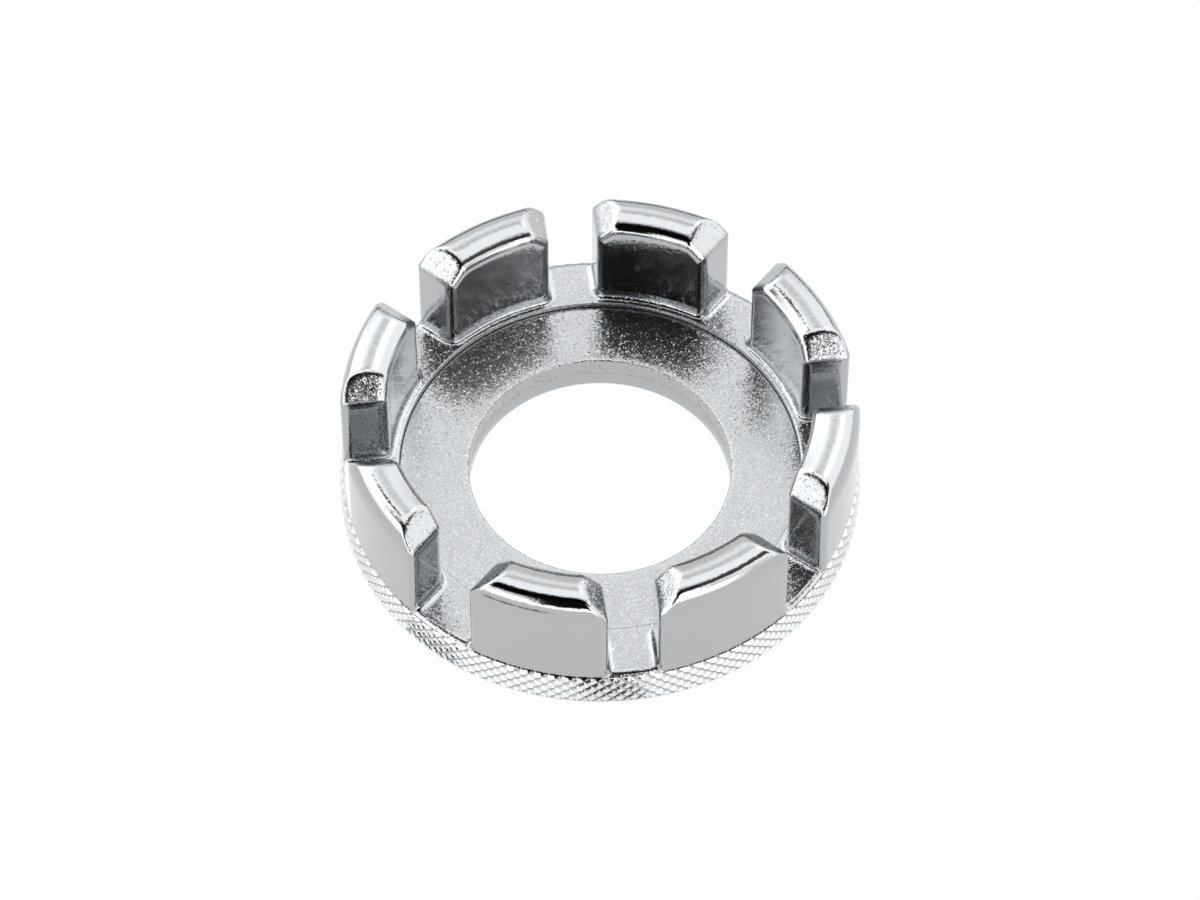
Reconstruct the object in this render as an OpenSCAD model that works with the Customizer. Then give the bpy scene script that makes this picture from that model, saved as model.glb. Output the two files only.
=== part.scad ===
// Round spoke wrench: a knurled disc with eight jaws standing on it.
// Each gap between two jaws is a parallel slot that takes one size of spoke nipple.
// The origin is the middle of the underside and the first slot opens towards -Y.

/* [Disc] */
// Diameter over the knurl crests
rim_d = 56; // [52:0.5:64]
// Height of the slot floors above the underside
floor_h = 4.7; // [4:0.1:6]
// Drop from the slot floors to the web
web_drop = 0.55; // [0.3:0.05:1.2]
// Width of the web between the hole and the ledge
web_w = 7.45; // [5:0.05:9]
// Width of the ledge inside the jaws
ledge_w = 0.95; // [0.8:0.05:1.6]
// Chamfer on the hole's edges and on both sides of the seam round the web
edge_break = 0.15; // [0.05:0.05:0.25]
// Clearance in the two round seats, none for a press fit
seat_gap = 0; // [0:0.01:0.05]

/* [Jaws] */
// Height of the crowns above the underside
jaw_h = 17; // [13:0.5:22]
// Thickness of a jaw from its inner face to its outer face
jaw_t = 5.1; // [4.5:0.1:5.9]
// Radius of the arch across a crown
crown_r = 4.2; // [3.8:0.1:8]
// Radius where the crown turns into the inner face
inner_edge_r = 0.6; // [0.3:0.05:0.9]
// Radius where the crown turns into the outer face
outer_edge_r = 1.4; // [0.3:0.05:1.8]
// Height of the sloped facet at each end of a jaw
facet_h = 2.4; // [1.6:0.1:3.2]
// Width of the bevel down both sides of a facet
facet_bevel = 0.5; // [0.2:0.05:0.8]
// Radius of the upright corners
corner_r = 0.8; // [0.4:0.05:1]
// Fillet between the jaws' inner faces and the ledge
foot_r = 0.6; // [0.2:0.05:0.75]

/* [Slots] */
// Width of the slot on -Y
slot_1_w = 5.2; // [3.4:0.1:8]
// Width of the next slot, anticlockwise from above
slot_2_w = 5.9; // [3.4:0.1:8]
// Width of the slot on +X
slot_3_w = 5.9; // [3.4:0.1:8]
// Width of the slot between +X and +Y
slot_4_w = 6.2; // [3.4:0.1:8]
// Width of the slot on +Y
slot_5_w = 5.2; // [3.4:0.1:8]
// Width of the slot between +Y and -X
slot_6_w = 5.8; // [3.4:0.1:8]
// Width of the slot on -X
slot_7_w = 7.4; // [3.4:0.1:8]
// Width of the slot between -X and -Y
slot_8_w = 7.2; // [3.4:0.1:8]

/* [Knurl] */
// Depth of the knurl below its crests
knurl_depth = 0.4; // [0.2:0.05:0.6]
// Diamonds round the rim
knurl_count = 116; // [90:2:140]
// Diamonds from the bottom of the rim to its top
knurl_rows = 3; // [2:1:4]
// Height of the crests above the roots where the knurl runs out at its top and bottom
knurl_end = 0.1; // [0.05:0.05:0.2]
// Chamfer between the slot floors and the knurl
rim_chamfer = 0.4; // [0.2:0.05:0.7]
// Flat land inside that chamfer
rim_land = 0.2; // [0.1:0.05:0.5]

/* [Hidden] */

$fn = 96;
slots = [slot_1_w, slot_2_w, slot_3_w, slot_4_w, slot_5_w, slot_6_w, slot_7_w, slot_8_w];
slot_turn = 360 / len(slots);
first_slot = -90;

rim_r = rim_d / 2;
root_r = rim_r - knurl_depth;          // knurl roots, flush with the jaws' outer faces
jaw_in_r = root_r - jaw_t;
jaw_mid_r = root_r - jaw_t / 2;
step_r = jaw_in_r - ledge_w;
chamfer_r = root_r - rim_chamfer;
seat_r = chamfer_r - rim_land;
knurl_h = floor_h - rim_chamfer;
web_h = floor_h - web_drop;
hole_r = step_r - web_w;

crown_z = jaw_h - crown_r;             // centre of the crown's arch
facet_z = jaw_h - facet_h;
corner_dip = corner_r * (1 - cos(5));  // how far a corner's arc would pass the faces that it joins
overrun = 1;

// Centre of the round of radius r between the crown and an upright face, as its distance from the
// middle of the jaw and its height
function edge_x(r) = jaw_t / 2 - r;
function edge_z(r) = crown_z + sqrt(pow(crown_r - r, 2) - pow(edge_x(r), 2));

// The section of a jaw, drawn with the radius along x and the height along y
module jaw_section() {
    inner = [-edge_x(inner_edge_r), edge_z(inner_edge_r)];
    outer = [edge_x(outer_edge_r), edge_z(outer_edge_r)];
    cap_top = crown_r + overrun;
    polygon([
        [jaw_in_r, floor_h - foot_r],
        [seat_r, floor_h - foot_r],
        [seat_r, floor_h],
        [chamfer_r, floor_h],
        [root_r, knurl_h],
        [root_r, outer[1]],
        [jaw_mid_r + outer[0], outer[1]],
        [jaw_mid_r + inner[0], inner[1]],
        [jaw_in_r, inner[1]]
    ]);
    translate([jaw_mid_r + inner[0], inner[1]]) circle(r = inner_edge_r);
    translate([jaw_mid_r + outer[0], outer[1]]) circle(r = outer_edge_r);
    translate([jaw_mid_r, crown_z])
        intersection() {
            circle(r = crown_r);
            polygon([
                [0, 0],
                [outer[0] * cap_top / (outer[1] - crown_z), cap_top],
                [inner[0] * cap_top / (inner[1] - crown_z), cap_top]
            ]);
        }
    translate([jaw_in_r - foot_r, floor_h])
        difference() {
            square([foot_r, foot_r]);
            translate([0, foot_r]) circle(r = foot_r);
        }
}

// Plan of the waste outside a rounded upright corner, on the +y wall of a slot.
// face_r is the upright face that the corner turns into, way is 1 outside and -1 inside.
module corner_waste(slot_w, face_r, way) {
    cy = slot_w / 2 + corner_r - corner_dip;
    cr = face_r - way * (corner_r - corner_dip);
    cx = sqrt(pow(cr, 2) - pow(cy, 2));
    far_r = face_r + way * overrun;
    difference() {
        polygon([
            [cx, cy],
            [cx, cy - corner_r - overrun],
            [far_r, cy - corner_r - overrun],
            [far_r * cx / cr, far_r * cy / cr]
        ]);
        translate([cx, cy]) circle(r = corner_r);
    }
}

// Bevel between a facet and the upright face at face_r, on the +y wall of a slot
module facet_side_waste(slot_w, face_r, way) {
    edge_y = slot_w / 2;
    mid_y = edge_y + facet_h / 2;
    reach = jaw_t;
    run = 3 * facet_h;
    translate([sqrt(pow(face_r, 2) - pow(mid_y, 2)), edge_y, facet_z])
        rotate([45, 0, 0])
            translate([-way * facet_bevel, 0, 0])
                rotate([0, way * 45, 0])
                    translate([-reach / 2, -run / 2, 0]) cube([reach, run, reach / 2]);
}

// All that is cut away between two jaws, with the slot along +x
module slot_waste(slot_w) {
    start = jaw_in_r - 2 * corner_r - foot_r;
    length = rim_r + overrun - start;
    low = knurl_h - overrun;
    high = jaw_h + overrun;
    translate([start, 0, 0])
        rotate([90, 0, 90])
            linear_extrude(length)
                polygon([
                    [-slot_w / 2, low],
                    [slot_w / 2, low],
                    [slot_w / 2, facet_z],
                    [slot_w / 2 + high - facet_z, high],
                    [-slot_w / 2 - high + facet_z, high],
                    [-slot_w / 2, facet_z]
                ]);
    for (side = [0, 1])
        mirror([0, side, 0]) {
            translate([0, 0, low])
                linear_extrude(high - low) {
                    corner_waste(slot_w, root_r, 1);
                    corner_waste(slot_w, jaw_in_r, -1);
                }
            facet_side_waste(slot_w, root_r, 1);
            facet_side_waste(slot_w, jaw_in_r, -1);
        }
}

// The ring under the slot floors, with the eight jaws standing on it
module jaw_ring() {
    color("silver")
        union() {
            rotate_extrude()
                polygon([
                    [step_r + seat_gap, 0],
                    [seat_r, 0],
                    [seat_r, floor_h],
                    [step_r + edge_break, floor_h],
                    [step_r + seat_gap, floor_h - edge_break]
                ]);
            difference() {
                rotate_extrude() jaw_section();
                for (k = [0 : len(slots) - 1])
                    rotate([0, 0, first_slot + k * slot_turn]) slot_waste(slots[k]);
            }
        }
}

// The thinner web round the hole
module centre_plate() {
    color("gainsboro")
        rotate_extrude()
            polygon([
                [hole_r + edge_break, 0],
                [step_r, 0],
                [step_r, web_h - edge_break],
                [step_r - edge_break, web_h],
                [hole_r + edge_break, web_h],
                [hole_r, web_h - edge_break],
                [hole_r, edge_break]
            ]);
}

// A point of the knurl: crests and roots take turns along each row and up each column
function knurl_point(i, j) =
    let (
        turn = 180 * i / knurl_count,
        crest_r = j % (2 * knurl_rows) == 0 ? root_r + knurl_end : rim_r,
        r = (i + j) % 2 == 1 ? crest_r : root_r
    )
    [r * cos(turn), r * sin(turn), knurl_h * j / (2 * knurl_rows)];

// The grip: diamonds cut round a band, with a chamfer up to the slot floors
module knurled_rim() {
    columns = 2 * knurl_count;
    rows = 2 * knurl_rows;
    last = knurl_count - 1;
    core_r = seat_r - overrun;
    function at(i, j) = j * columns + (i + columns) % columns;
    function ring(r, z) = [for (i = [0 : last]) [r * cos(360 * i / knurl_count), r * sin(360 * i / knurl_count), z]];
    chamfer_at = columns * (rows + 1);
    core_top = chamfer_at + knurl_count;
    core_low = core_top + knurl_count;
    points = concat(
        [for (j = [0 : rows]) for (i = [0 : columns - 1]) knurl_point(i, j)],
        ring(chamfer_r, floor_h), ring(core_r, floor_h), ring(core_r, 0));
    crests = [for (j = [0 : rows]) for (i = [0 : columns - 1]) if ((i + j) % 2 == 1) [i, j]];
    upper = [for (c = crests) if (c[1] < rows) for (side = [-1, 1])
        side < 0 ? [at(c[0], c[1]), at(c[0] - 1, c[1]), at(c[0], c[1] + 1)]
                 : [at(c[0], c[1]), at(c[0], c[1] + 1), at(c[0] + 1, c[1])]];
    lower = [for (c = crests) if (c[1] > 0) for (side = [-1, 1])
        side < 0 ? [at(c[0], c[1]), at(c[0], c[1] - 1), at(c[0] - 1, c[1])]
                 : [at(c[0], c[1]), at(c[0] + 1, c[1]), at(c[0], c[1] - 1)]];
    tips = [for (c = crests) if (c[1] == rows) [at(c[0] - 1, rows), at(c[0] + 1, rows), at(c[0], rows)]];
    rest = [for (i = [0 : last]) let (k = (i + 1) % knurl_count) each [
        [at(2 * i, rows), chamfer_at + i, chamfer_at + k, at(2 * i + 2, rows)],
        [chamfer_at + i, core_top + i, core_top + k, chamfer_at + k],
        [core_top + i, core_low + i, core_low + k, core_top + k],
        [core_low + i, at(2 * i, 0), at(2 * i + 1, 0), at(2 * i + 2, 0), core_low + k]
    ]];
    color("lightgray")
        difference() {
            polyhedron(points, concat(upper, lower, tips, rest));
            translate([0, 0, -overrun])
                cylinder(r = seat_r + seat_gap, h = floor_h + 2 * overrun, $fn = columns);
        }
}

jaw_ring();
centre_plate();
knurled_rim();
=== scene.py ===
# Round spoke wrench, bright chrome over a zinc casting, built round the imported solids.
import bpy
import math
import numpy as np
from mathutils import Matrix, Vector


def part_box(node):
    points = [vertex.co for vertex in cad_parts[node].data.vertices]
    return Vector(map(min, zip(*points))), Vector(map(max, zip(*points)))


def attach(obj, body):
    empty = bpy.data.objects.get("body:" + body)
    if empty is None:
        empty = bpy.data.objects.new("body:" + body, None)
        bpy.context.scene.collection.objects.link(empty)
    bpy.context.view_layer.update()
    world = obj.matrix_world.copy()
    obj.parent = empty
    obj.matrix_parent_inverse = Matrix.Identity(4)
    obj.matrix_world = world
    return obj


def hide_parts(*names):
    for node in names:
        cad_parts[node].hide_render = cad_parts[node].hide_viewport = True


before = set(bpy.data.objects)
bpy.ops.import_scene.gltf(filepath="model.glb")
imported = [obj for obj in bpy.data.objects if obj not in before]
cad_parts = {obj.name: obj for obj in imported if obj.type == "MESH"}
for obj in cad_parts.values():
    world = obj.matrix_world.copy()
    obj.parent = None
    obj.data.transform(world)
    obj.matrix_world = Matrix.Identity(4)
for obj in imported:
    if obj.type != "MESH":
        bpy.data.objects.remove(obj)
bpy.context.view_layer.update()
print("frame loaded:", ", ".join(sorted(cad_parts)))

mm = 0.001  # every size below is in millimetres, Blender works in metres

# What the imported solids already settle
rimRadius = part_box("knurled_rim")[1].x / mm
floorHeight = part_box("knurled_rim")[1].z / mm
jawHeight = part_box("jaw_ring")[1].z / mm
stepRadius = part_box("centre_plate")[1].x / mm
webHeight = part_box("centre_plate")[1].z / mm


def hexColour(code):
    # sRGB hex to the linear colour that the shaders work in
    shares = [int(code[i:i + 2], 16) / 255 for i in (1, 3, 5)]
    linear = [s / 12.92 if s <= 0.04045 else ((s + 0.055) / 1.055) ** 2.4 for s in shares]
    return (*linear, 1.0)


def newMaterial(name):
    # a material whose node tree is still empty
    material = bpy.data.materials.new(name)
    material.use_nodes = True
    material.node_tree.nodes.clear()
    return material


def addNode(tree, kind, inputs=None, **settings):
    # settings name the node's own options or its sockets, inputs give a socket's value or its source
    node = tree.nodes.new("ShaderNode" + kind)
    for name, value in settings.items():
        if hasattr(node, name):
            setattr(node, name, value)
        else:
            node.inputs[name.replace("_", " ")].default_value = value
    for name, value in (inputs or {}).items():
        if isinstance(value, bpy.types.NodeSocket):
            tree.links.new(value, node.inputs[name])
        else:
            node.inputs[name].default_value = value
    return node


def meshObject(name, points, faces, material, sharpAngle):
    mesh = bpy.data.meshes.new(name)
    mesh.from_pydata([tuple(p) for p in np.asarray(points) * mm], [], faces)
    mesh.materials.append(material)
    mesh.shade_smooth()
    mesh.set_sharp_from_angle(angle=math.radians(sharpAngle))
    mesh.validate()
    piece = bpy.data.objects.new(name, mesh)
    bpy.context.scene.collection.objects.link(piece)
    return piece


def stageSheet(name, corners, material):
    # a flat sheet that belongs to the studio and not to the tool
    mesh = bpy.data.meshes.new(name)
    mesh.from_pydata(corners, [], [(0, 1, 2, 3)])
    mesh.materials.append(material)
    sheet = bpy.data.objects.new(name, mesh)
    bpy.context.scene.collection.objects.link(sheet)
    return sheet


def crowded(count):
    # shares from 0 to 1 that lie closer together at both ends, where the edges need them
    return [(1 - math.cos(math.pi * i / count)) / 2 for i in range(count + 1)]


def towards(azimuth, elevation=0):
    # the direction at these degrees, azimuth counted from +X
    turn, rise = math.radians(azimuth), math.radians(elevation)
    return Vector((math.cos(rise) * math.cos(turn), math.cos(rise) * math.sin(turn), math.sin(rise)))


# Camera: a long lens from the front, looking down at 54 degrees
camera = {
    "distance": 600.8,
    "azimuth": -97.4,  # degrees from +X, a little to the left of the first slot
    "elevation": 54.21,
    "tilt": 0.393,  # degrees that the lens points above the origin
    "lens": 166.8,
    "sensor": 36,
    "sight": 20000,  # nothing further away is drawn
}


def placeCamera(view):
    data = bpy.data.cameras.new("camera")
    data.lens = view["lens"]
    data.sensor_width = view["sensor"]
    data.clip_end = view["sight"] * mm
    eye = bpy.data.objects.new("camera", data)
    bpy.context.scene.collection.objects.link(eye)
    eye.location = towards(view["azimuth"], view["elevation"]) * view["distance"] * mm
    down = math.radians(view["elevation"] - view["tilt"])
    eye.rotation_euler = (math.pi / 2 - down, 0, math.radians(view["azimuth"]) + math.pi / 2)
    bpy.context.scene.camera = eye


placeCamera(camera)
print("camera placed")


# Bright chrome over a zinc die casting. Polished faces mirror the studio, with a slight orange peel
# that frays the edges of what they mirror. As-cast floors and facets keep a fine grain that
# sparkles. A dark tone marks the seam round the web and gives painted shade in the knurl's valleys.
chrome = {
    "colour": "#B7B9BB",
    # the dark tone: the seam round the web, and painted shade in the knurl's valleys
    "seamAndShadeColour": "#4A4D50",
    "polishedRoughness": 0.07,
    "castRoughness": 0.18,
    "peelSize": 2.2,  # slow ripples of the polished faces
    "peelDepth": 0.012,
    "fraySize": 0.35,  # fine ripples, drawn coarser than the real plate's so that they show
    "frayDepth": 0.011,
    "grainSize": 0.13,  # grains of the as-cast faces, each a tiny mirror of its own lean
    "grainLean": 0.1,
    "sparkLean": 0.42,  # the few grains that lean the most
    "flatShare": 0.6,  # the share of the grains that lean no more than grainLean
}


def chromePlate(name, plate):
    # the mesh says point by point how much of it is as cast and how far it takes the dark tone of the seam or
    # of painted shade
    material = newMaterial(name)
    tree = material.node_tree
    perMetre = 1 / mm
    place = addNode(tree, "TexCoord").outputs["Object"]
    cast = addNode(tree, "Attribute", attribute_name="cast").outputs["Fac"]
    seamAndShade = addNode(tree, "Attribute", attribute_name="seamAndShade").outputs["Fac"]

    peel = addNode(tree, "TexNoise", {"Vector": place}, Scale=perMetre / plate["peelSize"], Detail=1.0)
    ripple = addNode(tree, "Bump", {"Height": peel.outputs["Fac"]}, Distance=plate["peelDepth"] * mm)
    fray = addNode(tree, "TexNoise", {"Vector": place}, Scale=perMetre / plate["fraySize"], Detail=2.0)
    frayed = addNode(tree, "Bump", {
        "Height": fray.outputs["Fac"],
        "Normal": ripple.outputs["Normal"],
    }, Distance=plate["frayDepth"] * mm)

    # each grain leans its own way, and a few lean a lot
    grains = addNode(tree, "TexVoronoi", {"Vector": place}, Scale=perMetre / plate["grainSize"])
    chance = addNode(tree, "TexWhiteNoise", {"Vector": grains.outputs["Position"]})
    lean = addNode(tree, "MapRange", {
        "Value": chance.outputs["Value"],
        "From Min": plate["flatShare"],
        "To Min": plate["grainLean"],
        "To Max": plate["sparkLean"],
    }, interpolation_type="SMOOTHERSTEP")
    lean = addNode(tree, "Math", {0: lean.outputs["Result"], 1: cast}, operation="MULTIPLY")
    way = addNode(tree, "VectorMath", {0: grains.outputs["Color"], 1: (0.5, 0.5, 0.5)}, operation="SUBTRACT")
    tip = addNode(tree, "VectorMath", {"Vector": way.outputs[0], "Scale": lean.outputs[0]}, operation="SCALE")
    grit = addNode(tree, "VectorMath", {0: frayed.outputs["Normal"], 1: tip.outputs[0]}, operation="ADD")
    grit = addNode(tree, "VectorMath", {0: grit.outputs[0]}, operation="NORMALIZE")

    roughness = addNode(tree, "MapRange", {
        "Value": cast,
        "To Min": plate["polishedRoughness"],
        "To Max": plate["castRoughness"],
    })
    tone = addNode(tree, "Mix", {
        "Factor": seamAndShade,
        6: hexColour(plate["colour"]),  # sockets 6 and 7 are the two colours
        7: hexColour(plate["seamAndShadeColour"]),
    }, data_type="RGBA")
    shader = addNode(tree, "BsdfPrincipled", {
        "Base Color": tone.outputs[2],
        "Normal": grit.outputs[0],
        "Roughness": roughness.outputs["Result"],
    }, Metallic=1.0)
    addNode(tree, "OutputMaterial", {"Surface": shader.outputs["BSDF"]})
    return material


def addLevel(piece, name, values):
    # a value for every point of the mesh, which the plate's nodes read
    layer = piece.data.attributes.new(name, "FLOAT", "POINT")
    layer.data.foreach_set("value", np.asarray(values, dtype=np.float32))


# The casting: eight jaws on the ring of slot floors
jaws = {
    "slotWidths": [5.2, 5.9, 5.9, 6.2, 5.2, 5.8, 7.4, 7.2],  # the first opens to -Y, then anticlockwise
    "thickness": 5.1,
    "crownRadius": 4.2,
    "innerEdge": 0.6,  # where the crown turns into the inner face
    "outerEdge": 1.4,  # where it turns into the outer face
    "endEdge": 0.45,  # where a facet turns into the slot wall
    "facetHeight": 2.4,
    "facetEdge": 0.3,
    "facetBevel": 0.5,
    "corner": 0.85,
    "foot": 0.6,
    "rimChamfer": 0.4,
    "chamferEdge": 0.12,
    "knurlDepth": 0.4,
    "stepEdge": 0.18,
    # rows of the mesh beside the seam round the web, and how far it goes on under the knurl
    "belowSeam": 0.3,
    "aboveSeam": 0.08,
    "underKnurl": 0.2,
    # how finely the mesh divides each of these
    "halfSlotSteps": 6,
    "facetSteps": 9,
    "crownSteps": 20,
    "ledgeSteps": 8,
    "thicknessSteps": 16,
    "wallSteps": 24,
    "sharpAngle": 40,
    # how much of the casting's grain is left: all of it on floors and facets
    "polishedGrain": 0.18,
    "slotWallGrain": 0.3,
    "slotWallReach": 0.6,  # how far round a jaw's corner the slot wall's grain goes
    "slotWallFade": 0.4,
    "facetFade": 0.35,
    "floorFade": 1.2,
    # the lip of the step: how dark it is, how far out it reaches and how far above the web it starts
    "lipTone": 0.4,
    "lipWidth": 0.08,
    "lipRise": 0.3,
}
slotCount = len(jaws["slotWidths"])
slotTurn = 2 * math.pi / slotCount
slotStart = -math.pi / 2
outerRadius = rimRadius - jaws["knurlDepth"]
innerRadius = outerRadius - jaws["thickness"]
middleRadius = outerRadius - jaws["thickness"] / 2
chamferRadius = outerRadius - jaws["rimChamfer"]
knurlHeight = floorHeight - jaws["rimChamfer"]
crownCentre = jawHeight - jaws["crownRadius"]
facetFoot = jawHeight - jaws["facetHeight"]
hair = 0.005  # less than the steps of the meshes, it tells on which side of an edge a point lies


def halfSlot(sector, side):
    # half the width of the slot on one side of a jaw, side 0 before it and 1 after it
    return jaws["slotWidths"][(sector + side) % slotCount] / 2


def outwardEdge(a, b, radius):
    # two faces that meet outwards, given as distances outside each, with a rounded edge
    over = np.hypot(np.maximum(a + radius, 0), np.maximum(b + radius, 0))
    return np.minimum(np.maximum(a, b), -radius) + over


def inwardEdge(a, b, radius):
    # two solids that meet in a fillet
    under = np.hypot(np.maximum(radius - a, 0), np.maximum(radius - b, 0))
    return np.maximum(np.minimum(a, b), radius) - under


def wallDistance(x, y, sectors):
    # how far a point lies inside the nearer slot wall of its jaw
    halfWidths = np.array(jaws["slotWidths"]) / 2
    reach = []
    for side, way in ((0, 1), (1, -1)):
        slots = (sectors + side) % slotCount
        turn = slotStart + slots * slotTurn
        across = way * (y * np.cos(turn) - x * np.sin(turn))
        reach.append(across - halfWidths[slots])
    return np.minimum(*reach)


def castingDistance(points, sectors):
    # distance outside the casting's rounded form, negative inside it
    x, y, z = points.T
    radial = np.hypot(x, y)
    wall = wallDistance(x, y, sectors)
    outside, inside = radial - outerRadius, innerRadius - radial
    sides = np.maximum(outside, inside)
    crown = np.hypot(radial - middleRadius, np.maximum(z - crownCentre, 0)) - jaws["crownRadius"]
    arch = outwardEdge(outwardEdge(crown, outside, jaws["outerEdge"]), inside, jaws["innerEdge"])
    facet = (z - facetFoot - wall) / math.sqrt(2)
    bevel = (facet + sides + jaws["facetBevel"]) / math.sqrt(2)
    ends = outwardEdge(-wall, facet, jaws["endEdge"])
    upright = outwardEdge(sides, -wall, jaws["corner"])
    top = outwardEdge(outwardEdge(arch, ends, jaws["facetEdge"]), bevel, jaws["facetEdge"] / 2)
    jaw = np.maximum(upright, top)
    chamfer = (z - floorHeight + radial - chamferRadius) / math.sqrt(2)
    floor = outwardEdge(z - floorHeight, chamfer, jaws["chamferEdge"])
    floor = outwardEdge(floor, stepRadius - radial, jaws["stepEdge"])
    fade = np.clip((outerRadius - radial) / jaws["corner"], 0, 1)
    return inwardEdge(jaw, floor, jaws["foot"] * fade)


def settle(points, sectors):
    # moves each point along the slope of the distance until it lies on the rounded form
    rounds, nudge, leastSlope = 8, 0.0005, 0.05
    for _ in range(rounds):
        here = castingDistance(points, sectors)
        slope = np.stack([
            (castingDistance(points + nudge * axis, sectors) - here) / nudge for axis in np.eye(3)
        ], axis=1)
        steepness = np.maximum((slope ** 2).sum(axis=1), leastSlope)
        points = points - slope * (here / steepness)[:, None]
    return points


def crownHeightAt(radial):
    # height of the crown's section, with the round that leads into each upright face
    away = radial - middleRadius
    height = math.sqrt(jaws["crownRadius"] ** 2 - away ** 2)
    for edge, way in ((jaws["outerEdge"], 1), (jaws["innerEdge"], -1)):
        across = jaws["thickness"] / 2 - edge
        centre = math.sqrt((jaws["crownRadius"] - edge) ** 2 - across ** 2)
        joins = across * jaws["crownRadius"] / (jaws["crownRadius"] - edge)
        if way * away > joins:
            height = centre + math.sqrt(max(edge ** 2 - (way * away - across) ** 2, 0))
    return crownCentre + height


def castingColumns():
    # every column of points round the ring: its sector, the slot it follows and its place there
    slotShares = [math.sin(math.pi / 2 * i / jaws["halfSlotSteps"]) for i in range(jaws["halfSlotSteps"])]
    facetShares = crowded(jaws["facetSteps"])[:-1]
    columns = []
    for sector in range(slotCount):
        columns += [(sector, 0, "slot", s) for s in slotShares]
        columns += [(sector, 0, "facet", s) for s in facetShares]
        columns += [(sector, 0, "crown", s) for s in crowded(jaws["crownSteps"])]
        columns += [(sector, 1, "facet", s) for s in reversed(facetShares)]
        columns += [(sector, 1, "slot", s) for s in reversed(slotShares[1:])]
    return columns


def castingRows():
    # radius and height of each row, from the hidden foot of the step over the floor to the knurl,
    # and the numbers of the rows at a jaw's inner and outer face
    step = [
        (stepRadius, 0),
        (stepRadius, webHeight - jaws["belowSeam"]),
        (stepRadius, webHeight),
        (stepRadius, webHeight + jaws["aboveSeam"]),
        (stepRadius, (webHeight + floorHeight) / 2),
    ]
    ledgeWidth = innerRadius - stepRadius
    ledge = [(stepRadius + s * ledgeWidth, floorHeight) for s in crowded(jaws["ledgeSteps"])[:-1]]
    under = []
    for s in crowded(jaws["thicknessSteps"]):
        radial = innerRadius + s * jaws["thickness"]
        under.append((radial, floorHeight - max(0, radial - chamferRadius)))
    hidden = [(chamferRadius - jaws["underKnurl"], height) for height in (knurlHeight, 0)]
    first = len(step) + len(ledge)
    return step + ledge + under + hidden, first, first + len(under) - 1


def wallTurn(sector, side, across, radial):
    # where a line at this distance from the middle of a jaw's slot crosses this radius
    way = 1 if side == 0 else -1
    return slotStart + (sector + side) * slotTurn + way * math.asin(across / radial)


def turnAt(column, radial):
    sector, side, zone, share = column
    onJaw = min(max(radial, innerRadius), outerRadius)
    facetRun = crownHeightAt(onJaw) - facetFoot
    if zone == "slot":
        return wallTurn(sector, side, halfSlot(sector, side) * share, radial)
    if zone == "facet":
        return wallTurn(sector, side, halfSlot(sector, side) + share * facetRun, radial)
    low, high = (wallTurn(sector, s, halfSlot(sector, s) + facetRun, radial) for s in (0, 1))
    return low + share * (high - low)


def buildCasting(material):
    columns = castingColumns()
    rows, firstJawRow, lastJawRow = castingRows()
    count = len(columns)
    points, sectors, fixed, faces = [], [], [], []

    def addPoint(column, radial, height, stays=False):
        turn = turnAt(column, radial)
        points.append((radial * math.cos(turn), radial * math.sin(turn), height))
        sectors.append(column[0])
        fixed.append(stays)
        return len(points) - 1

    # the sheet of floor, step and ledge, open where the jaws stand
    stillRows = {0, 1, 2, lastJawRow, lastJawRow + 1, lastJawRow + 2}  # these aren't rounded
    sheet = [[addPoint(c, r, z, i in stillRows) for c in columns] for i, (r, z) in enumerate(rows)]
    inJaw = [c[2] != "slot" for c in columns]
    for i in range(len(rows)):
        above = (i + 1) % len(rows)
        for j in range(count):
            right = (j + 1) % count
            if not (inJaw[j] and inJaw[right] and firstJawRow <= i < lastJawRow):
                faces.append((sheet[i][j], sheet[i][right], sheet[above][right], sheet[above][j]))

    # each jaw: walls up from the loop that its foot leaves open in the sheet, and a top
    perSector = count // slotCount
    for sector in range(slotCount):
        mine = [j for j in range(sector * perSector, (sector + 1) * perSector) if inJaw[j]]
        top = {}
        for i in range(firstJawRow, lastJawRow + 1):
            radial = rows[i][0]
            for j in mine:
                turn = turnAt(columns[j], radial)
                wall = float(wallDistance(radial * math.cos(turn), radial * math.sin(turn), sector))
                height = min(crownHeightAt(radial), facetFoot + wall)
                top[i, j] = addPoint(columns[j], radial, height)
        loop = [(firstJawRow, j) for j in mine]
        loop += [(i, mine[-1]) for i in range(firstJawRow + 1, lastJawRow + 1)]
        loop += [(lastJawRow, j) for j in reversed(mine[:-1])]
        loop += [(i, mine[0]) for i in range(lastJawRow - 1, firstJawRow, -1)]
        walls = [[sheet[i][j] for i, j in loop]]
        for share in crowded(jaws["wallSteps"])[1:-1]:
            ring = []
            for i, j in loop:
                foot, head = points[sheet[i][j]][2], points[top[i, j]][2]
                ring.append(addPoint(columns[j], rows[i][0], foot + share * (head - foot)))
            walls.append(ring)
        walls.append([top[key] for key in loop])
        for low, high in zip(walls, walls[1:]):
            for k in range(len(loop)):
                after = (k + 1) % len(loop)
                faces.append((low[k], low[after], high[after], high[k]))
        for i in range(firstJawRow, lastJawRow):
            for j, right in zip(mine, mine[1:]):
                faces.append((top[i, j], top[i, right], top[i + 1, right], top[i + 1, j]))

    points, sectors = np.array(points, dtype=float), np.array(sectors)
    free = ~np.array(fixed)
    points[free] = settle(points[free], sectors[free])
    piece = meshObject("jaw_casting", points, faces, material, jaws["sharpAngle"])
    finishCasting(piece, points, sectors)
    return piece


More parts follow.
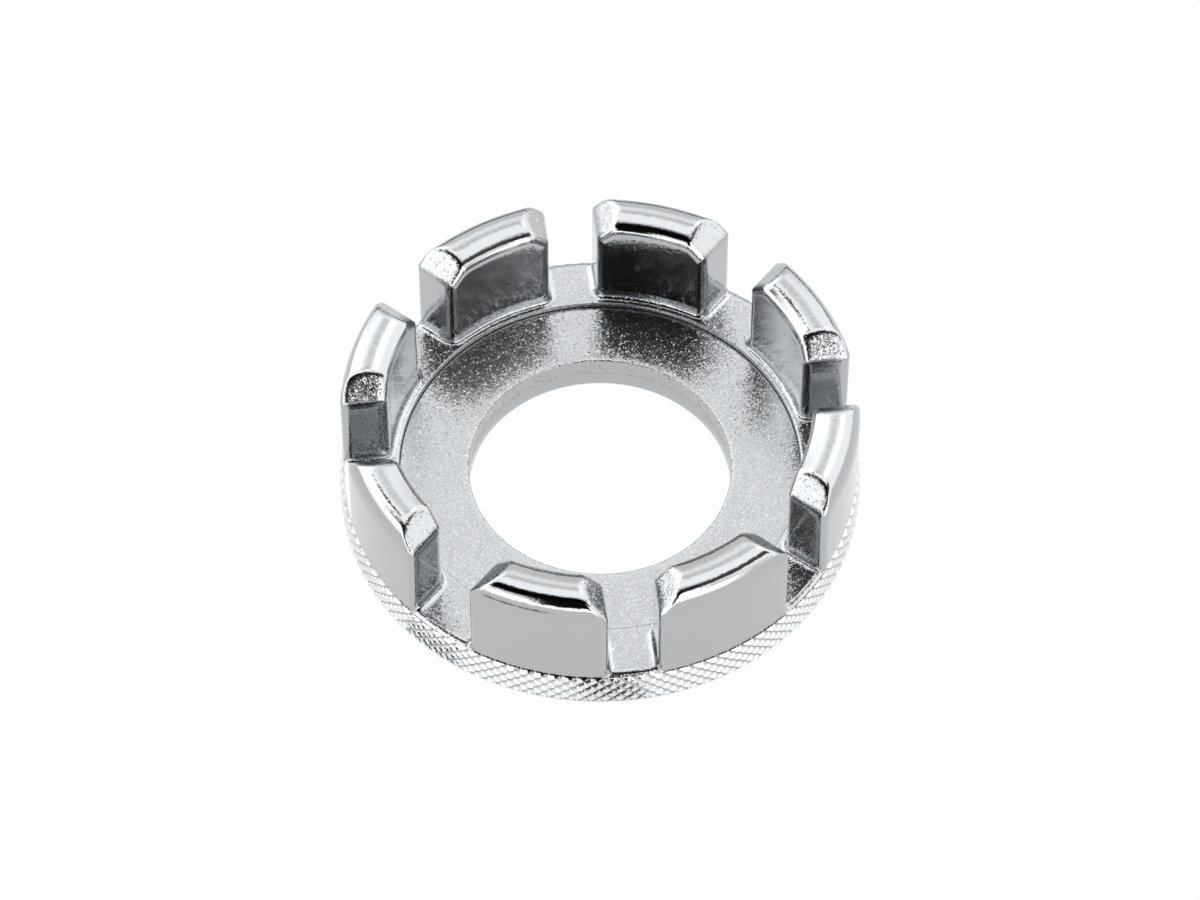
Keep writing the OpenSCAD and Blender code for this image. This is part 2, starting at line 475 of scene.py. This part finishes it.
def finishCasting(piece, points, sectors):
    # crowns and outer faces are polished, floors, facets and slot walls keep the casting's grain
    x, y, z = points.T
    radial = np.hypot(x, y)
    wall = wallDistance(x, y, sectors)
    onFacet = np.clip((z - facetFoot - wall) / jaws["facetFade"] + 1, 0, 1)
    onFloor = np.clip((floorHeight - z) / jaws["floorFade"] + 1, 0, 1)
    onWall = np.clip((jaws["slotWallReach"] - wall) / jaws["slotWallFade"], 0, 1) * jaws["slotWallGrain"]
    addLevel(piece, "cast", np.maximum.reduce([
        onFacet, onFloor, onWall, np.full(len(points), jaws["polishedGrain"]),
    ]))
    seam = (radial < stepRadius + hair) & (z < webHeight + hair)
    lip = (radial < stepRadius + jaws["lipWidth"]) & (z > webHeight + jaws["lipRise"])
    addLevel(piece, "seamAndShade", seam + jaws["lipTone"] * lip)


castingChrome = chromePlate("bright_chrome_on_zinc_casting", chrome)
casting = buildCasting(castingChrome)
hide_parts("jaw_ring")
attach(casting, "root")
print("jaws built:", len(casting.data.polygons), "faces")


# The thin web round the hole, turned as one profile
web = {
    "holeRadius": 14.1,
    "topEdge": 0.2,
    "bottomEdge": 0.2,
    "edgeSteps": 5,
    "seamGap": 0.02,  # at the seam the web's top stands this far off the ring's step
    "seamDepth": 0.12,
    "seamWidth": 0.16,
    "seamWall": 0.1,
    "flatShares": [0.1, 0.3, 0.5, 0.7, 0.9],  # where the flat top has its rings
    "boreLine": 0.45,  # share of the bore below the fine line between its two bands
    "boreStep": 0.05,
    "lowerBoreGrain": 0.2,  # the band below that line is smooth, and the one above it rough
    "upperBoreGrain": 2.5,
    "segments": 288,
    "sharpAngle": 40,
}


def webProfile(sizes, lineAt):
    # radius and height of each ring, from the seam over the top, into the hole and back below
    hole, top, steps = sizes["holeRadius"], webHeight, sizes["edgeSteps"]
    lipRadius, seamFoot = stepRadius - sizes["seamGap"], top - sizes["seamDepth"]
    profile = [(stepRadius, 0), (stepRadius, seamFoot - sizes["seamWall"]), (lipRadius, seamFoot)]
    for i in range(1, steps + 1):  # the soft lip beside the seam
        a = math.pi / 2 * i / steps
        profile.append((
            lipRadius - sizes["seamWidth"] * (1 - math.cos(a)),
            top - sizes["seamDepth"] * (1 - math.sin(a)),
        ))
    outer, inner = lipRadius - sizes["seamWidth"], hole + sizes["topEdge"]
    profile += [(outer + (inner - outer) * share, top) for share in sizes["flatShares"]]
    for i in range(steps + 1):  # the rounded edge into the hole
        a = math.pi / 2 * i / steps
        profile.append((
            hole + sizes["topEdge"] * (1 - math.sin(a)),
            top - sizes["topEdge"] * (1 - math.cos(a)),
        ))
    step, bottom = sizes["boreStep"], sizes["bottomEdge"]
    profile += [(hole, lineAt + 2 * step), (hole + step, lineAt), (hole, lineAt - 2 * step)]
    profile += [(hole, bottom), (hole + bottom / 4, bottom / 4), (hole + bottom, 0)]
    return profile


def buildWeb(sizes, material):
    lineAt = sizes["boreLine"] * webHeight
    profile = webProfile(sizes, lineAt)
    count = sizes["segments"]
    points, faces = [], []
    for r, z in profile:
        for j in range(count):
            a = 2 * math.pi * j / count
            points.append((r * math.cos(a), r * math.sin(a), z))
    for i in range(len(profile)):
        above = (i + 1) % len(profile)
        for j in range(count):
            right = (j + 1) % count
            faces.append((i * count + j, above * count + j, above * count + right, i * count + right))
    piece = meshObject("hole_web", points, faces, material, sizes["sharpAngle"])

    x, y, z = np.array(points).T
    radial = np.hypot(x, y)
    boreGrain = np.where(z < lineAt + hair, sizes["lowerBoreGrain"], sizes["upperBoreGrain"])
    inBore = radial < sizes["holeRadius"] + sizes["topEdge"] - hair
    addLevel(piece, "cast", np.where(inBore, boreGrain, 1.0))
    addLevel(piece, "seamAndShade", (radial > stepRadius - sizes["seamGap"] - hair) & (z > hair))
    return piece


webChrome = chromePlate("bright_chrome_on_cast_web", chrome)
webPiece = buildWeb(web, webChrome)
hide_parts("centre_plate")
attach(webPiece, "root")
print("web built:", len(webPiece.data.polygons), "faces")


# The diamond knurl, rolled into the rim
knurl = {
    "diamondsRound": 116,
    "diamondsHigh": 3,
    "fine": 4,  # mesh steps over half a diamond
    "pillow": 1.35,  # 1 for flat-sided pyramids, more for rounder crests
    # how dark the painted shade in the knurl's valleys is
    "valleyShadeTone": 0.7,
    "valleyShadeShare": 0.4,  # how far up a diamond's side that painted shade reaches
    "endHeight": 0.1,  # what is left of the crests where the knurl runs out
    "endSlope": 1.1,
    "bandWidth": 0.6,
    "grain": 0.1,
    "sharpAngle": 25,
    "crestHighlightColour": "#E9EBED",  # the knurl's chrome painted lighter than the casting's, a painted highlight for the bright front it mirrors
}


def buildKnurl(sizes, material):
    fine = sizes["fine"]
    columns = 2 * sizes["diamondsRound"] * fine
    rows = 2 * sizes["diamondsHigh"] * fine
    points, faces, valleyShade = [], [], []

    def addPoint(i, radial, height):
        a = math.pi * i / fine / sizes["diamondsRound"]
        points.append((radial * math.cos(a), radial * math.sin(a), height))

    for j in range(rows + 1):
        z = knurlHeight * j / rows
        end = sizes["endHeight"] + sizes["endSlope"] * min(z, knurlHeight - z)
        for i in range(columns):
            u, v = i / fine, j / fine
            fromGroove = min(abs((u + v + 1) % 2 - 1), abs((u - v + 1) % 2 - 1))
            height = 1 - (1 - fromGroove) ** sizes["pillow"]
            # painted shade, darkest along the bottom of each groove and fading up the diamond's sides
            valleyShade.append(max(0, 1 - fromGroove / sizes["valleyShadeShare"]) * sizes["valleyShadeTone"])
            addPoint(i, outerRadius + min(jaws["knurlDepth"] * height, end), z)
    for j in range(rows):
        for i in range(columns):
            right = (i + 1) % columns
            a, b = j * columns + i, j * columns + right
            c, d = a + columns, b + columns
            rising = (i // fine + j // fine) % 2 == 0  # the groove runs up to the right here
            faces += [(a, b, d), (a, d, c)] if rising else [(a, b, c), (b, d, c)]

    # the plain back of the band, against the ring
    for height in (knurlHeight, 0):
        for i in range(columns):
            addPoint(i, outerRadius - sizes["bandWidth"], height)
    topEdge, upper, lower = rows * columns, (rows + 1) * columns, (rows + 2) * columns
    for i in range(columns):
        right = (i + 1) % columns
        faces.append((topEdge + i, topEdge + right, upper + right, upper + i))
        faces.append((upper + i, upper + right, lower + right, lower + i))
        faces.append((lower + i, lower + right, right, i))
    piece = meshObject("knurl_band", points, faces, material, sizes["sharpAngle"])
    addLevel(piece, "cast", np.full(len(points), sizes["grain"]))
    # the valleys' painted shade, mixed towards the dark tone
    addLevel(piece, "seamAndShade", valleyShade + [0] * (len(points) - len(valleyShade)))
    return piece


# the knurl gets a lighter copy of the chrome: a painted highlight
knurlChrome = chromePlate("chrome_on_rolled_knurl_painted_lighter", {**chrome, "colour": knurl["crestHighlightColour"]})
knurlPiece = buildKnurl(knurl, knurlChrome)
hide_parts("knurled_rim")
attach(knurlPiece, "root")
print("knurl built:", len(knurlPiece.data.polygons), "faces")


# A white table that keeps a faint shadow
table = {
    "size": 4000,
    "colour": "#F4F4F4",
    "whiteShare": 0.98,  # how much of the camera's view of it is plain white
    "mirroredShare": 0.9,  # the same for what the chrome mirrors of it
}


def buildTable(sizes):
    material = newMaterial("matt_white_paper")
    tree = material.node_tree
    ray = addNode(tree, "LightPath").outputs
    straight = addNode(tree, "Math", {0: ray["Is Camera Ray"], 1: ray["Is Transmission Ray"]},
                       operation="MAXIMUM")
    straight = addNode(tree, "Math", {0: straight.outputs[0], 1: sizes["whiteShare"]}, operation="MULTIPLY")
    mirrored = addNode(tree, "Math", {0: ray["Is Glossy Ray"], 1: sizes["mirroredShare"]},
                       operation="MULTIPLY")
    share = addNode(tree, "Math", {0: straight.outputs[0], 1: mirrored.outputs[0]}, operation="MAXIMUM")
    paper = addNode(tree, "BsdfDiffuse", Color=hexColour(sizes["colour"]))
    white = addNode(tree, "Emission", Strength=1.0)
    mix = addNode(tree, "MixShader", {0: share.outputs[0], 1: paper.outputs[0], 2: white.outputs[0]})
    addNode(tree, "OutputMaterial", {"Surface": mix.outputs[0]})
    half = sizes["size"] * mm / 2
    stageSheet("table", [(-half, -half, 0), (half, -half, 0), (half, half, 0), (-half, half, 0)], material)


buildTable(table)


# A black flag on the table in front of the tool, which only the chrome mirrors: it makes the dark
# sides of the diamonds at the lower left
flag = {
    "azimuth": -123.5,
    "distance": 57,
    "width": 21,
    "height": 4,
    "sideFade": 3,  # its edges fade out, so that what mirrors it shows no hard outline
    "topFade": 1.5,
    "colour": "#0C0C0D",
}


def buildFlag(sizes):
    half, high = sizes["width"] / 2, sizes["height"]
    sideFade, topFade = sizes["sideFade"], sizes["topFade"]
    material = newMaterial("black_felt")
    tree = material.node_tree
    place = addNode(tree, "TexCoord").outputs["Object"]
    place = addNode(tree, "SeparateXYZ", {"Vector": place}).outputs
    across = addNode(tree, "Math", {0: place["X"]}, operation="ABSOLUTE")
    shares = []
    for away, edge, fade in ((across.outputs[0], half, sideFade), (place["Z"], high, topFade)):
        inside = addNode(tree, "MapRange", {
            "Value": away,
            "From Min": (edge + fade) * mm,
            "From Max": (edge - fade) * mm,
        }, interpolation_type="SMOOTHSTEP")
        shares.append(inside.outputs["Result"])
    share = addNode(tree, "Math", {0: shares[0], 1: shares[1]}, operation="MULTIPLY")
    clear = addNode(tree, "BsdfTransparent")
    felt = addNode(tree, "BsdfDiffuse", Color=hexColour(sizes["colour"]))
    mix = addNode(tree, "MixShader", {0: share.outputs[0], 1: clear.outputs[0], 2: felt.outputs[0]})
    addNode(tree, "OutputMaterial", {"Surface": mix.outputs[0]})
    reach, top = (half + sideFade) * mm, (high + topFade) * mm
    sheet = stageSheet("black_flag", [(-reach, 0, 0), (reach, 0, 0), (reach, 0, top), (-reach, 0, top)],
                       material)
    sheet.location = towards(sizes["azimuth"]) * sizes["distance"] * mm
    sheet.rotation_euler = (0, 0, math.radians(sizes["azimuth"]) + math.pi / 2)
    sheet.visible_camera = False
    sheet.visible_diffuse = False


buildFlag(flag)


# The studio: an even white tent with brighter softboxes and darker cards in it. Each card is
# given by where its middle lies, its half width and half height and its soft edge, in degrees.
# Where two overlap, the later one is in front. A level of 1 is as bright as white paper.
studio = {
    "tent": 1.02,
    "cards": [
        {"azimuth": 83, "elevation": 77, "width": 40, "height": 13, "soft": 3, "level": 1.75},
        {"azimuth": 160, "elevation": 34, "width": 44, "height": 30, "soft": 10, "level": 2.2},
        {"azimuth": 12, "elevation": 34, "width": 43, "height": 30, "soft": 8, "level": 1.75},
        {"azimuth": 80, "elevation": 5, "width": 35, "height": 6, "soft": 4, "level": 0.15},
        {"azimuth": -97, "elevation": 6, "width": 50, "height": 20, "soft": 8, "level": 2.4},
        {"azimuth": 131, "elevation": 58, "width": 4, "height": 3, "soft": 1, "level": 0.01},
        {"azimuth": -56, "elevation": 59, "width": 38, "height": 13, "soft": 3, "level": 0.1},
        {"azimuth": -162, "elevation": 54, "width": 24, "height": 12, "soft": 4, "level": 0.08},
        {"azimuth": -116, "elevation": 62, "width": 27, "height": 22, "soft": 5, "level": 0.002},
        {"azimuth": -104, "elevation": 37, "width": 16, "height": 25, "soft": 2, "level": 0.005},
        {"azimuth": -68, "elevation": 35, "width": 9.5, "height": 12, "soft": 2, "level": 2.5},
        {"azimuth": 48, "elevation": 53, "width": 7, "height": 7, "soft": 3, "level": 2.5},
    ],
}


def cardShare(tree, direction, card):
    # how much of a direction the card covers: all inside it, none outside, less in its soft edge
    ahead = towards(card["azimuth"], card["elevation"])
    side = towards(card["azimuth"] + 90)
    facing = addNode(tree, "VectorMath", {0: direction, 1: ahead}, operation="DOT_PRODUCT")
    share = addNode(tree, "Math", {0: facing.outputs["Value"], 1: 0.0}, operation="GREATER_THAN")
    for axis, half in ((side, card["width"]), (ahead.cross(side), card["height"])):
        along = addNode(tree, "VectorMath", {0: direction, 1: axis}, operation="DOT_PRODUCT")
        away = addNode(tree, "Math", {0: along.outputs["Value"]}, operation="ARCSINE")
        away = addNode(tree, "Math", {0: away.outputs[0]}, operation="ABSOLUTE")
        inside = addNode(tree, "MapRange", {
            "Value": away.outputs[0],
            "From Min": math.radians(half + card["soft"]),
            "From Max": math.radians(half - card["soft"]),
        }, interpolation_type="SMOOTHSTEP")
        share = addNode(tree, "Math", {0: share.outputs[0], 1: inside.outputs["Result"]},
                        operation="MULTIPLY")
    return share.outputs[0]


def buildStudio(settings):
    world = bpy.data.worlds.new("studio")
    bpy.context.scene.world = world
    world.use_nodes = True
    tree = world.node_tree
    tree.nodes.clear()
    direction = addNode(tree, "TexCoord").outputs["Generated"]
    level = settings["tent"]
    for card in settings["cards"]:
        share = cardShare(tree, direction, card)
        mix = addNode(tree, "Mix", {"Factor": share, "A": level, "B": card["level"]})
        level = mix.outputs["Result"]
    straight = addNode(tree, "LightPath").outputs["Is Camera Ray"]  # the camera sees plain white
    mix = addNode(tree, "Mix", {"Factor": straight, "A": level, "B": 1.0})
    sky = addNode(tree, "Background", {"Strength": mix.outputs["Result"]}, Color=(1, 1, 1, 1))
    addNode(tree, "OutputWorld", {"Surface": sky.outputs[0]})


buildStudio(studio)
bpy.context.scene.view_settings.view_transform = "Standard"
print("studio lit")
